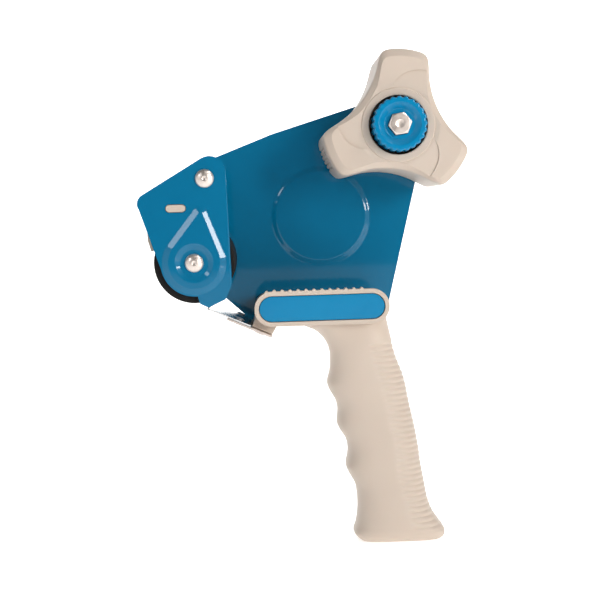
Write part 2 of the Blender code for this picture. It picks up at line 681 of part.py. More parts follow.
def hub_radius(angle):
    """Outline radius of the three-lobed hub at an angle in degrees from +X towards +Z."""
    web_centre, web_r, soft = 0.0689, 0.0474, 0.006
    off = math.radians(abs((angle - HUB_TURN) % 120 - 60))
    beside = web_centre * math.sin(off)
    if beside >= web_r:
        return HUB_R
    web = web_centre * math.cos(off) - math.sqrt(web_r ** 2 - beside ** 2)
    near = max(soft - abs(HUB_R - web), 0.0) / soft
    return min(HUB_R, web) - near * near * soft / 4


def hub_solid(name, sections, around=72):
    """The lobed shape as a loft; sections are (y, inset) from near to far."""
    bm = bmesh.new()
    loops = []
    for y, inset in sections:
        loop = []
        for k in range(around):
            angle = 360 * k / around
            radius = hub_radius(angle) - inset
            turn = math.radians(angle)
            loop.append(bm.verts.new((HUB_X + radius * math.cos(turn), y, HUB_Z + radius * math.sin(turn))))
        loops.append(loop)
    for near, far in zip(loops, loops[1:]):
        for k in range(around):
            n = (k + 1) % around
            bm.faces.new((near[k], near[n], far[n], far[k]))
    bm.faces.new(loops[0])
    bm.faces.new(reversed(loops[-1]))
    return mesh_object(name, bm)


RECESS_R = 0.0155         # bore that holds the spring and the back of the knob
RECESS_FLOOR = -0.0080
BUSH_R = 0.0042


def hub():
    wall = 0.0022
    body = hub_solid("hub_body", [(HUB_NEAR, 0.0042), (HUB_NEAR + 0.0026, 0.0005),
                                  (HUB_NEAR + 0.0050, 0.0), (HUB_FAR, 0.0)])
    hollow = hub_solid("hub_hollow", [(HUB_NEAR + 0.0040, wall + 0.0005), (HUB_FAR + 0.001, wall)])
    cup_r, tube_r, cup_end = RECESS_R + 0.0024, 0.0090, RECESS_FLOOR + 0.0030
    core = [(0, 0.030), (tube_r, 0.030), (tube_r, cup_end), (cup_r, cup_end), (cup_r, -0.030), (0, -0.030)]
    combine(hollow, turned("hub_core", HUB_X, HUB_Z, core, 36), "DIFFERENCE")
    for k in range(3):
        rib = box("hub_rib_%d" % k, (0.0040, -0.030, -0.0010), (0.0300, 0.030, 0.0010))
        rib.location = (HUB_X, 0, HUB_Z)
        rib.rotation_euler.y = -math.radians(HUB_TURN + 60 + 120 * k)
        combine(hollow, rib, "DIFFERENCE")
    combine(body, hollow, "DIFFERENCE")
    bore_r = BUSH_R + GAP
    bore = [(0, 0.030), (bore_r, 0.030), (bore_r, RECESS_FLOOR), (RECESS_R, RECESS_FLOOR),
            (RECESS_R, -0.030), (0, -0.030)]
    combine(body, turned("hub_bore", HUB_X, HUB_Z, bore, 36), "DIFFERENCE")
    smooth(body, 30)
    add_part(body, beige_abs)

    bush = tube("hub_bush", HUB_X, HUB_Z, BUSH_R, BOLT_R + GAP, RECESS_FLOOR, HUB_FAR, 24)
    smooth(bush)
    add_part(bush, brass)
    disc = tube("friction_disc", HUB_X, HUB_Z, 0.0125, BOLT_R + GAP, HUB_FAR + GAP, PLATE_IN - GAP, 32)
    smooth(disc)
    add_part(disc, fibre)


def hexagon(flats):
    """A hexagon in side view round the hub axis."""
    return arc(HUB_X, HUB_Z, flats / math.sqrt(3), 8, 308, 5)


def brake():
    floor = KNOB_FRONT + 0.0026
    seat = floor + 0.0014
    flutes, flute_depth, per_flute = 24, 0.0009, 4
    rim = []
    for k in range(flutes * per_flute):
        a = math.tau * k / (flutes * per_flute)
        radius = KNOB_R - flute_depth * (1 - math.cos(flutes * a)) / 2
        rim.append((HUB_X + radius * math.cos(a), HUB_Z + radius * math.sin(a)))
    knob = extruded("brake_knob", [rim], KNOB_FRONT, KNOB_BACK)
    bore_r = BOLT_R + GAP
    hollow = [(0, 0.0), (bore_r, 0.0), (bore_r, floor), (0.0086, floor), (0.0106, KNOB_FRONT - 0.001),
              (0, KNOB_FRONT - 0.001)]
    combine(knob, turned("knob_hollow", HUB_X, HUB_Z, hollow, 28), "DIFFERENCE")
    combine(knob, extruded("knob_pocket", [hexagon(0.0106)], floor - 0.001, seat), "DIFFERENCE")
    smooth(knob, 40)
    add_part(knob, blue_abs)

    head = seat - GAP
    bolt = extruded("hub_bolt", [hexagon(0.0100)], head - 0.0040, head)
    combine(bolt, pin("bolt_shank", HUB_X, HUB_Z, BOLT_R, head - 0.002, 0.0352, 24), "UNION")
    smooth(bolt)
    add_part(bolt, steel)

    washer = tube("pressure_washer", HUB_X, HUB_Z, 0.0125, BOLT_R + GAP, KNOB_BACK + GAP, KNOB_BACK + 0.0015)
    smooth(washer)
    add_part(washer, steel)

    gauge, coil_r, turns, per_turn = 0.0008, 0.0100, 3.5, 16
    y0 = KNOB_BACK + 0.0015 + GAP + gauge
    y1 = RECESS_FLOOR - GAP - gauge
    steps = int(turns * per_turn)
    points = []
    for i in range(steps + 1):
        a = math.tau * i / per_turn
        y = y0 + (y1 - y0) * i / steps
        points.append((HUB_X + coil_r * math.cos(a), y, HUB_Z + coil_r * math.sin(a)))
    spring = wire("brake_spring", points, gauge, 1)
    smooth(spring, 60)
    add_part(spring, spring_steel)

    lock = tube("lock_washer", HUB_X, HUB_Z, 0.0060, BOLT_R + GAP, PLATE_OUT + GAP, PLATE_OUT + 0.0013, 24)
    smooth(lock)
    add_part(lock, steel)
    nut_y = PLATE_OUT + 0.0013 + GAP
    nut_bore = hole(HUB_X, HUB_Z, BOLT_R + GAP, 24)
    nut = extruded("bolt_nut", [hexagon(0.0100), nut_bore], nut_y, nut_y + 0.0050)
    add_part(nut, steel)


near_cheek()
frame_plate()
rivet("upper_rivet", TIE_X, TIE_Z)
rivet("roller_axle", ROLLER_X, ROLLER_Z)
upper_spacer()
roller()
guide_bar()
flap()
cutter()
handle()
hub()
brake()
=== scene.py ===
import math

import bmesh
import bpy
from mathutils import Matrix, Vector


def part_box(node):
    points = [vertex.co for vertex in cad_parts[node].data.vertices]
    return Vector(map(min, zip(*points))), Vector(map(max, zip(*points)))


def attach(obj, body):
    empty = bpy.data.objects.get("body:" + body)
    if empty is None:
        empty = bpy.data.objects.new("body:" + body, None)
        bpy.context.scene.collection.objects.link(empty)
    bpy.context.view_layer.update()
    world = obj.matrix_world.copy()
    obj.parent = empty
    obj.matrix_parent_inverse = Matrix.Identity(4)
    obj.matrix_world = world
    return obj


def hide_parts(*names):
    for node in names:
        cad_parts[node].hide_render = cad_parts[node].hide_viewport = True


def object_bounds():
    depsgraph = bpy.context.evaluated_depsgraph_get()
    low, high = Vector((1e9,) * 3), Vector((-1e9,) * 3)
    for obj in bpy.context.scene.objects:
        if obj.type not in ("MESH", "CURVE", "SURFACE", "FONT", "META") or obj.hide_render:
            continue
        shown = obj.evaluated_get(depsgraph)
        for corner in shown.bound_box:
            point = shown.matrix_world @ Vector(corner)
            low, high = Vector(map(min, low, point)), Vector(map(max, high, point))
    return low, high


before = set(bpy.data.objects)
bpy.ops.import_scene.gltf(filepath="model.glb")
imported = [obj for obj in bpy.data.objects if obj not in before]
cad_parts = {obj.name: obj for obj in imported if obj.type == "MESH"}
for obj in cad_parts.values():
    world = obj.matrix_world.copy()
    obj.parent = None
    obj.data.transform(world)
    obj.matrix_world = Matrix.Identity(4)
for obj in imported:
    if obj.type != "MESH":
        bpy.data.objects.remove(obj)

cadBox = [list(corner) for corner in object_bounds()]
print("frame loaded")


def deselectAll():
    if bpy.context.object and bpy.context.object.mode != "OBJECT":
        bpy.ops.object.mode_set(mode="OBJECT")
    bpy.ops.object.select_all(action="DESELECT")


def activate(piece):
    deselectAll()
    piece.select_set(True)
    bpy.context.view_layer.objects.active = piece


def traceWire(name, points):  # a chain of edges drawn point by point, left in edit mode
    deselectAll()
    bpy.ops.mesh.primitive_plane_add(size=0.001, location=(0, 0, 0))
    piece = bpy.context.object
    piece.name = name
    piece.data.name = name
    bpy.ops.object.mode_set(mode="EDIT")
    bpy.ops.mesh.select_mode(type="VERT")
    bpy.ops.mesh.select_all(action="SELECT")
    bpy.ops.mesh.merge(type="CENTER")
    bpy.ops.transform.translate(value=points[0])
    for before, here in zip(points, points[1:]):
        step = Vector(here) - Vector(before)
        bpy.ops.mesh.extrude_region_move(TRANSFORM_OT_translate={"value": step})
    return piece


def sideView(outline, y):  # (x, z) points as points in space
    return [(x, y, z) for x, z in outline]


def traceSlab(name, outline, y0, y1):  # an outline in side view made a slab, its y1 face left selected
    piece = traceWire(name, sideView(outline, y0))
    bpy.ops.mesh.select_all(action="SELECT")
    bpy.ops.mesh.edge_face_add()
    bpy.ops.mesh.extrude_region_move(TRANSFORM_OT_translate={"value": (0, y1 - y0, 0)})
    bpy.ops.mesh.select_mode(type="FACE")
    return piece


def leaveEdit(piece):
    bpy.ops.mesh.select_all(action="SELECT")
    bpy.ops.mesh.remove_doubles(threshold=0.000002)
    bpy.ops.mesh.normals_make_consistent(inside=False)
    bpy.ops.object.mode_set(mode="OBJECT")
    return piece


def stepInward(steps):  # insets the selected face again and again; each step is (width, rise)
    for width, rise in steps:
        bpy.ops.mesh.inset(thickness=width, depth=rise, use_even_offset=True)


def outwardFace(piece, toward):  # turns the faces outward and selects the one farthest along a direction
    bpy.ops.mesh.select_all(action="SELECT")
    bpy.ops.mesh.normals_make_consistent(inside=False)
    bpy.ops.mesh.select_all(action="DESELECT")
    mesh = bmesh.from_edit_mesh(piece.data)
    aim = Vector(toward)

    def reach(face):
        return round(face.calc_center_median().dot(aim), 6), face.calc_area()

    max(mesh.faces, key=reach).select_set(True)
    bmesh.update_edit_mesh(piece.data)


def turnPiece(name, at, profile, steps=64, ring=False):  # profile is (radius, y) round an axis along Y
    points = [(at.x + radius, y, at.z) for radius, y in profile]
    if ring:
        points.append(points[0])
    piece = traceWire(name, points)
    bpy.ops.mesh.select_all(action="SELECT")
    bpy.ops.mesh.spin(steps=steps, angle=math.tau, center=(at.x, 0, at.z), axis=(0, 1, 0))
    return leaveEdit(piece)


def applyModifier(piece, kind, **settings):
    activate(piece)
    change = piece.modifiers.new(kind.lower(), kind)
    for key, value in settings.items():
        setattr(change, key, value)
    bpy.ops.object.modifier_apply(modifier=change.name)
    return piece


def combine(piece, tool, operation):
    applyModifier(piece, "BOOLEAN", operation=operation, solver="EXACT", object=tool)
    bpy.data.objects.remove(tool, do_unlink=True)
    return piece


def soften(piece, width, segments=3, angle=40, smoothTo=35):  # rounds the hard edges and shades the rest smooth
    if width:
        applyModifier(piece, "BEVEL", width=width, segments=segments, limit_method="ANGLE",
                      angle_limit=math.radians(angle), miter_outer="MITER_ARC", use_clamp_overlap=True)
    activate(piece)
    bpy.ops.object.shade_smooth_by_angle(angle=math.radians(smoothTo))
    return applyModifier(piece, "WEIGHTED_NORMAL", keep_sharp=True, weight=60)


def arcPoints(centre, radius, start, end, steps):  # degrees from +X towards +Z
    turns = [math.radians(start + (end - start) * i / steps) for i in range(steps + 1)]
    return [(centre[0] + radius * math.cos(a), centre[1] + radius * math.sin(a)) for a in turns]


def roundedOutline(corners, steps=8):  # (x, z, radius) corners, each rounded
    points = []
    for i, (x, z, radius) in enumerate(corners):
        here = Vector((x, z))
        if not radius:
            points.append((x, z))
            continue
        before = (Vector(corners[i - 1][:2]) - here).normalized()
        after = (Vector(corners[(i + 1) % len(corners)][:2]) - here).normalized()
        half = before.angle(after) / 2
        middle = here + (before + after).normalized() * radius / math.sin(half)
        first = here + before * radius / math.tan(half) - middle
        last = here + after * radius / math.tan(half) - middle
        sweep = math.atan2(first.x * last.y - first.y * last.x, first.dot(last))
        points += [tuple(middle + Matrix.Rotation(sweep * k / steps, 2) @ first) for k in range(steps + 1)]
    return points


def stadiumOutline(x0, x1, z, height, steps=14):
    radius = height / 2
    return (arcPoints((x1 - radius, z), radius, -90, 90, steps)
            + arcPoints((x0 + radius, z), radius, 90, 270, steps))


def ease(share):
    share = min(max(share, 0.0), 1.0)
    return share * share * (3 - 2 * share)


def centreOf(node):
    low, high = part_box(node)
    return (low + high) / 2


def finishPiece(piece, body, look, node):  # its material, its body, and the CAD node that it stands for
    piece.data.materials.clear()
    piece.data.materials.append(finish[look])
    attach(piece, body)
    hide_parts(node)


def refinedCopy(node, name, width, angle=35, smoothTo=35):  # a CAD node's own shape with its edges rounded
    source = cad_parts[node]
    piece = bpy.data.objects.new(name, source.data.copy())
    bpy.context.scene.collection.objects.link(piece)
    activate(piece)
    bpy.ops.object.mode_set(mode="EDIT")
    bpy.ops.mesh.select_all(action="SELECT")
    bpy.ops.mesh.customdata_custom_splitnormals_clear()
    bpy.ops.mesh.remove_doubles(threshold=0.000005)
    bpy.ops.mesh.dissolve_limited(angle_limit=math.radians(1.0))
    bpy.ops.object.mode_set(mode="OBJECT")
    return soften(piece, width, 2, angle, smoothTo)


def linearColour(code):  # an sRGB hex value as a linear colour
    parts = [int(code[i:i + 2], 16) / 255 for i in (1, 3, 5)]
    return [p / 12.92 if p <= 0.04045 else ((p + 0.055) / 1.055) ** 2.4 for p in parts] + [1.0]


def addNode(tree, kind, settings, links):
    node = tree.nodes.new(kind)
    for key, value in settings.items():
        if isinstance(key, int) or key in node.inputs:
            node.inputs[key].default_value = value
        else:
            setattr(node, key, value)
    for key, source in links.items():
        tree.links.new(source, node.inputs[key])
    return node


def makeFinish(name, looks):
    # pale and deep are the two ends of the colour's slow drift, and drift is that drift's size in mm; grain is
    # the size of the fine relief in mm and depth its depth; stretch draws the grain out along an axis; rough is
    # the lowest and the highest roughness
    finish = bpy.data.materials.new(name)
    finish.use_nodes = True
    tree = finish.node_tree
    shader = tree.nodes["Principled BSDF"]
    place = addNode(tree, "ShaderNodeTexCoord", {}, {}).outputs["Object"]
    drift = addNode(tree, "ShaderNodeTexNoise", {"Scale": 1000 / looks["drift"], "Detail": 3.0,
                                                 "Roughness": 0.55}, {"Vector": place})
    stretched = addNode(tree, "ShaderNodeMapping", {"Scale": looks.get("stretch", (1, 1, 1))},
                        {"Vector": place})
    grain = addNode(tree, "ShaderNodeTexNoise", {"Scale": 1000 / looks["grain"], "Detail": 2.0,
                                                 "Roughness": 0.6}, {"Vector": stretched.outputs[0]})
    colour = addNode(tree, "ShaderNodeMix", {"data_type": "RGBA", 6: linearColour(looks["deep"]),
                                             7: linearColour(looks["pale"])}, {0: drift.outputs["Fac"]})
    speck = looks.get("speck")
    if speck:
        spots = addNode(tree, "ShaderNodeTexVoronoi", {"Scale": 1000 / speck["size"]}, {"Vector": place})
        mask = addNode(tree, "ShaderNodeMapRange", {"From Min": speck["share"], "From Max": 0.0,
                                                    "To Min": 0.0, "To Max": speck["strength"]},
                       {"Value": spots.outputs["Distance"]})
        colour = addNode(tree, "ShaderNodeMix", {"data_type": "RGBA", 7: linearColour(speck["colour"])},
                         {0: mask.outputs[0], 6: colour.outputs[2]})
    tree.links.new(colour.outputs[2], shader.inputs["Base Color"])
    low, high = looks["rough"]
    source = grain if looks.get("roughByGrain") else drift
    spread = addNode(tree, "ShaderNodeMapRange", {"From Min": 0.3, "From Max": 0.7, "To Min": low,
                                                  "To Max": high}, {"Value": source.outputs["Fac"]})
    tree.links.new(spread.outputs[0], shader.inputs["Roughness"])
    relief = addNode(tree, "ShaderNodeBump", {"Strength": 1.0, "Distance": looks["depth"] / 1000},
                     {"Height": grain.outputs["Fac"]})
    tree.links.new(relief.outputs[0], shader.inputs["Normal"])
    for key, value in looks.get("shader", {}).items():
        shader.inputs[key].default_value = value
    return finish


finishes = {
    # Polyester enamel stoved on steel sheet: a deep even blue with sharp reflections and a faint orange peel
    "stovedBlueEnamel": {"pale": "#006f98", "deep": "#00678f", "drift": 60, "grain": 1.6, "depth": 0.002,
                         "rough": (0.34, 0.42),
                         "shader": {"IOR": 1.5, "Coat Weight": 0.85, "Coat Roughness": 0.04,
                                    "Specular IOR Level": 0.04}},
    # Beige ABS from a spark-eroded mould: satin, warm, with a fine even texture
    "satinBeigeAbs": {"pale": "#cebfb1", "deep": "#c3b4a6", "drift": 45, "grain": 0.7, "depth": 0.012,
                      "rough": (0.40, 0.50),
                      "shader": {"IOR": 1.53, "Subsurface Weight": 0.05, "Subsurface Scale": 0.002,
                                 "Specular IOR Level": 0.4}},
    # Blue ABS moulded in a polished tool: brighter and glossier than the enamel
    "glossBlueAbs": {"pale": "#0085b5", "deep": "#0079aa", "drift": 30, "grain": 0.9, "depth": 0.003,
                     "rough": (0.14, 0.22), "shader": {"IOR": 1.53, "Specular IOR Level": 0.32}},
    # Ground nitrile rubber: near black and matt, with fine rings left by the grinding wheel
    "groundBlackRubber": {"pale": "#0f0c0a", "deep": "#060504", "drift": 12, "grain": 1.2, "depth": 0.02,
                          "stretch": (0.15, 4.0, 0.15), "rough": (0.62, 0.80),
                          "shader": {"IOR": 1.52, "Specular IOR Level": 0.3}},
    # Zinc plated steel: bright, slightly warm and cloudy
    "zincPlatedSteel": {"pale": "#f2e8e1", "deep": "#decfc5", "drift": 3, "grain": 0.5, "depth": 0.006,
                        "rough": (0.26, 0.40), "shader": {"Metallic": 0.85}},
    # Hardened blade steel, ground across its width: pale, with fine parallel scratches
    "groundBladeSteel": {"pale": "#ffffff", "deep": "#faf9f7", "drift": 9, "grain": 0.6, "depth": 0.004,
                         "stretch": (8.0, 0.2, 8.0), "rough": (0.08, 0.20), "roughByGrain": True,
                         "shader": {"Metallic": 1.0}},
    # Drawn spring wire: dark grey with draw marks
    "drawnSpringWire": {"pale": "#8f8c88", "deep": "#6f6c69", "drift": 4, "grain": 0.3, "depth": 0.004,
                        "rough": (0.28, 0.42), "shader": {"Metallic": 1.0}},
    # Grey ABS for hidden mouldings: plain and satin
    "greyAbs": {"pale": "#7d7d7b", "deep": "#6f6f6d", "drift": 20, "grain": 0.6, "depth": 0.01,
                "rough": (0.42, 0.52), "shader": {"IOR": 1.53}},
    # Pressed friction fibre: dull brown with pale specks
    "pressedFibre": {"pale": "#6b5a4a", "deep": "#4d4036", "drift": 3, "grain": 0.35, "depth": 0.03,
                     "rough": (0.75, 0.92), "speck": {"size": 0.8, "share": 0.25, "strength": 0.6,
                                                      "colour": "#a8927a"}, "shader": {}},
    # Turned brass: warm yellow with fine turning rings
    "turnedBrass": {"pale": "#d9b873", "deep": "#c7a25c", "drift": 6, "grain": 0.4, "depth": 0.004,
                    "stretch": (0.3, 6.0, 0.3), "rough": (0.22, 0.34), "shader": {"Metallic": 1.0}},
}
finish = {name: makeFinish(name, looks) for name, looks in finishes.items()}
print("finishes made")

rollerAt = centreOf("roller_sleeve")
tieAt = centreOf("upper_rivet")
hubAt = centreOf("hub_bolt")


sheets = {
    "near": -0.0270, "nearInside": -0.0258, "plateInside": 0.0260, "plateOutside": 0.0275,
    # corners of each sheet in side view, as x, z and radius, before the round skirt under the roller closes it
    "cheekCorners": [(-0.1298, 0.1797, 0.0050), (-0.0843, 0.2062, 0.008), (-0.0828, 0.1375, 0.002),
                     (-0.0862, 0.1302, 0.002), (-0.0947, 0.1263, 0.0015), (-0.0988, 0.1283, 0.0008)],
    "plateCorners": [(-0.1298, 0.1797, 0.0050), (-0.0920, 0.20185, 0.020), (-0.0607, 0.2136, 0.030),
                     (0.0293, 0.2404, 0.020), (-0.0020, 0.1140, 0.002), (-0.0720, 0.1126, 0.0015)],
    "skirt": 0.0165, "cheekSkirt": (-86, -170, 24), "plateSkirt": (-67, -170, 28),
    "edge": 0.00035, "bend": 0.0010, "bentPast": -0.0850, "bentLength": 0.03, "cutPast": 0.004,
    "slot": (-0.1091, 0.1754), "slotLength": 0.0103, "slotHeight": 0.0041,
    # the dimple round the axle, as radius and height above the sheet
    "dimple": [(0, 0.0001), (0.0064, 0.0001), (0.0068, 0.00014), (0.0072, 0.00024), (0.0090, 0.00089),
               (0.0094, 0.00100), (0.0099, 0.00107), (0.0099, 0.004), (0, 0.004)],
    "drop": 0.0140, "dropTip": (-0.0972, 0.1725), "dropTipRadius": 0.0020, "dropSpread": 0.0018,
    "flank": [(0.0003, 0.00006), (0.0004, 0.00015), (0.0019, 0.00062), (0.0004, 0.00015), (0.0003, 0.00006)],
    "dishAt": (-0.0355, 0.1696), "dish": 0.0268, "dishFlank": 0.0034, "dishSteps": 14, "dishRise": 0.0008,
}


def teardropOutline(grow):
    big = sheets["drop"] + grow
    small = sheets["dropTipRadius"] + grow
    tip = sheets["dropTip"]
    run = math.hypot(tip[0] - rollerAt.x, tip[1] - rollerAt.z)
    lean = math.degrees(math.atan2(tip[1] - rollerAt.z, tip[0] - rollerAt.x))
    touch = math.degrees(math.acos((big - small) / run))
    return (arcPoints((rollerAt.x, rollerAt.z), big, lean + touch, lean - touch + 360, 40)
            + arcPoints(tip, small, lean - touch, lean + touch, 10))


def slotOutline():
    x, z = sheets["slot"]
    half = sheets["slotLength"] / 2
    return stadiumOutline(x - half, x + half, z, sheets["slotHeight"], 8)


def sheetOutline(corners, skirt):  # the corners joined to the arc under the roller
    arc = arcPoints((rollerAt.x, rollerAt.z), sheets["skirt"], *skirt)
    return roundedOutline(corners + [(*arc[0], 0)])[:-1] + arc


def makeCheek():
    near, inside = sheets["near"], sheets["nearInside"]
    sheet = traceSlab("nearCheek", sheetOutline(sheets["cheekCorners"], sheets["cheekSkirt"]), inside, near)
    bpy.ops.mesh.select_all(action="DESELECT")  # the long right edge is bent over, so it gets a wide rounding
    bpy.ops.mesh.select_mode(type="EDGE")
    mesh = bmesh.from_edit_mesh(sheet.data)
    for edge in mesh.edges:
        a, b = edge.verts[0].co, edge.verts[1].co
        edge.select_set(min(a.x, b.x) > sheets["bentPast"] and max(a.y, b.y) < near + 0.0001
                        and abs(a.z - b.z) > sheets["bentLength"])
    bmesh.update_edit_mesh(sheet.data)
    bpy.ops.mesh.bevel(offset=sheets["bend"], segments=2, affect="EDGES")
    leaveEdit(sheet)

    boss = traceSlab("boss", teardropOutline(sheets["dropSpread"]), near + 0.0005, near - 0.00001)
    outwardFace(boss, (0, -1, 0))
    stepInward(sheets["flank"])
    leaveEdit(boss)
    combine(sheet, boss, "UNION")
    dimple = [(radius, near - rise) for radius, rise in sheets["dimple"]]
    combine(sheet, turnPiece("dimple", rollerAt, dimple, 64), "DIFFERENCE")
    past = sheets["cutPast"]
    combine(sheet, leaveEdit(traceSlab("slot", slotOutline(), near - past, inside + past)), "DIFFERENCE")
    soften(sheet, sheets["edge"], 3, 50)
    finishPiece(sheet, "frame", "stovedBlueEnamel", "near_cheek")


def dishProfile(face, start):  # a plug that ends in the dish's swell, from a plane at start
    radius, flank, steps, rise = (sheets[key] for key in ("dish", "dishFlank", "dishSteps", "dishRise"))
    swell = [(radius - flank * k / steps, face - rise * ease(k / steps)) for k in range(steps + 1)]
    return [(0, start), (radius, start)] + swell + [(0, face - rise)]


def makePlate():
    inside, outside = sheets["plateInside"], sheets["plateOutside"]
    outline = sheetOutline(sheets["plateCorners"], sheets["plateSkirt"])
    sheet = leaveEdit(traceSlab("framePlate", outline, outside, inside))
    at = Vector((sheets["dishAt"][0], 0, sheets["dishAt"][1]))
    front = dishProfile(inside - 0.00001, inside + 0.0004)
    back = dishProfile(outside + 0.00001, outside + 0.002)
    combine(sheet, turnPiece("dishFront", at, front, 96), "UNION")
    combine(sheet, turnPiece("dishBack", at, back, 96), "DIFFERENCE")
    past = sheets["cutPast"]
    combine(sheet, leaveEdit(traceSlab("slot", slotOutline(), inside - past, outside + past)), "DIFFERENCE")
    soften(sheet, sheets["edge"], 3, 50)
    finishPiece(sheet, "frame", "stovedBlueEnamel", "frame_plate")


makeCheek()
makePlate()
print("side sheets made")


rivets = {"head": 0.0046, "rise": 0.0022, "shank": 0.0030, "lift": 0.0003, "around": 56,
          "dimple": 0.0011, "dimpleDepth": 0.00025, "turns": (16, 24, 34, 45, 56, 67, 78, 86, 90)}
rollerValues = {"edge": 0.0005, "bore": 0.0169, "around": 128,
                "bends": [(0.0, 1.0), (0.3, 0.55), (0.62, 0.22), (1.0, 0.0)]}


def rivetProfile():
    head, rise = rivets["head"], rivets["rise"]
    near = sheets["near"] - rivets["lift"]
    far = sheets["plateOutside"] + rivets["lift"]
    turns = [math.radians(a) for a in rivets["turns"]]
    dome = [(head * math.sin(t), rise * math.cos(t)) for t in turns]
    dent = dome[0][1] - rivets["dimpleDepth"]
    shape = [(0, dent), (rivets["dimple"] * 0.6, dent), (rivets["dimple"], dome[0][1] - 0.00003)] + dome
    return ([(r, far + y) for r, y in shape] + [(rivets["shank"], far), (rivets["shank"], near)]
            + [(r, near - y) for r, y in reversed(shape)])


def makeRivets():
    for name, node, at in (("upperRivetHead", "upper_rivet", tieAt), ("rollerAxleHead", "roller_axle", rollerAt)):
        rivet = turnPiece(name, at, rivetProfile(), rivets["around"])
        soften(rivet, 0)
        finishPiece(rivet, "frame", "zincPlatedSteel", node)


def makeSleeve():
    low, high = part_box("roller_sleeve")
    radius = (high.z - low.z) / 2
    edge, bore = rollerValues["edge"], rollerValues["bore"]
    bends = rollerValues["bends"]
    nearEdge = [(radius - edge * up, low.y + edge * along) for along, up in bends]
    farEdge = [(radius - edge * up, high.y - edge * along) for along, up in reversed(bends)]
    profile = nearEdge + farEdge + [(bore, high.y), (bore, low.y)]
    sleeve = turnPiece("rollerSleeve", rollerAt, profile, rollerValues["around"], ring=True)
    soften(sleeve, 0)
    finishPiece(sleeve, "roller", "groundBlackRubber", "roller_sleeve")


makeRivets()
makeSleeve()
print("rivets and roller made")


handleValues = {
    "around": 96, "ringCuts": (36, 7), "top": 0.118,
    "square": 0.75, "footSquare": 0.55, "footRise": 0.012,
    "joint": 0.00002, "edge": 0.0003,
    # the grip's front, back and half width at each height, and how far round its back the small ribs reach
    "front": [(0.0000, -0.0205), (0.0023, -0.0229), (0.0045, -0.0242), (0.0088, -0.0231), (0.0157, -0.0220),
              (0.0226, -0.0220), (0.0295, -0.0229), (0.0361, -0.0262), (0.0398, -0.0275), (0.0477, -0.0263),
              (0.0539, -0.0273), (0.0595, -0.0306), (0.0627, -0.0316), (0.0695, -0.0311), (0.0743, -0.0321),
              (0.0797, -0.0350), (0.0836, -0.0361), (0.0896, -0.0347), (0.0950, -0.0342), (0.1011, -0.0347),
              (0.1066, -0.0372), (0.1110, -0.0417), (0.1132, -0.0466), (0.1200, -0.0600)],
    "back": [(0.0000, 0.0210), (0.0021, 0.0228), (0.0051, 0.0229), (0.0092, 0.0203), (0.0141, 0.0172),
             (0.0211, 0.0147), (0.0292, 0.0133), (0.0399, 0.0115), (0.0543, 0.0097), (0.0713, 0.0064),
             (0.0862, 0.0035), (0.0968, -0.0003), (0.1047, -0.0022), (0.1147, -0.0043), (0.1200, -0.0054)],
    "width": [(0.0000, 0.0088), (0.0014, 0.0114), (0.0034, 0.0132), (0.0070, 0.0146), (0.0200, 0.0148),
              (0.0600, 0.0150), (0.1200, 0.0152)],
    "ribEnds": [(0.0000, 0.0071), (0.0134, 0.0039), (0.0246, 0.0005), (0.0356, -0.0021), (0.0430, -0.0027),
                (0.0508, -0.0030), (0.0628, -0.0052), (0.0737, -0.0072), (0.0821, -0.0095), (0.0904, -0.0122),
                (0.1038, -0.0153), (0.1200, -0.0168)],
    "ribFrom": 0.0052, "ribTo": 0.1046, "ribPitch": 0.0028, "ribDepth": 0.00055, "ribFade": 0.0012,
    "blockX": (-0.0723, -0.0048), "blockZ": 0.124, "blockHeight": 0.0174, "blockY": (-0.0220, 0.0257),
    "topDrop": 0.0032, "rimBack": -0.0170, "rim": 0.0021, "recess": 0.0020,
    "topRibs": 13, "topRibFirst": -0.0662, "topRibPitch": 0.00398, "topRibRise": 0.0008,
    "topRibShape": ((0.0010, 0.0), (0.0008, 0.35), (0.0005, 0.85), (0.0002, 1.0),
                    (-0.0002, 1.0), (-0.0005, 0.85), (-0.0008, 0.35), (-0.0010, 0.0)),
    "bladeTip": (-0.0958, 0.1253), "bladeSlope": -24.0,
    # the nose that carries the blade: where it starts and ends along the blade, its corners, and its depth
    "noseAlong": (0.0242, 0.0350), "noseY": (0.0240, -0.0170),
    "noseCorners": [(-0.0620, 0.1140), (-0.0600, 0.1200), (-0.0700, 0.1230)],
}


def smoothValue(table, height):  # Catmull-Rom through (height, value) rows
    last = len(table) - 2
    i = max(k for k in range(last + 1) if k == 0 or table[k][0] <= height)
    (z1, v1), (z2, v2) = table[i], table[i + 1]
    z0, v0 = table[max(i - 1, 0)]
    z3, v3 = table[min(i + 2, last + 1)]
    t = (height - z1) / (z2 - z1)
    m1 = (v2 - v0) / (z2 - z0) * (z2 - z1)
    m2 = (v3 - v1) / (z3 - z1) * (z2 - z1)
    return ((2 * t ** 3 - 3 * t ** 2 + 1) * v1 + (t ** 3 - 2 * t ** 2 + t) * m1
            + (3 * t ** 2 - 2 * t ** 3) * v2 + (t ** 3 - t ** 2) * m2)


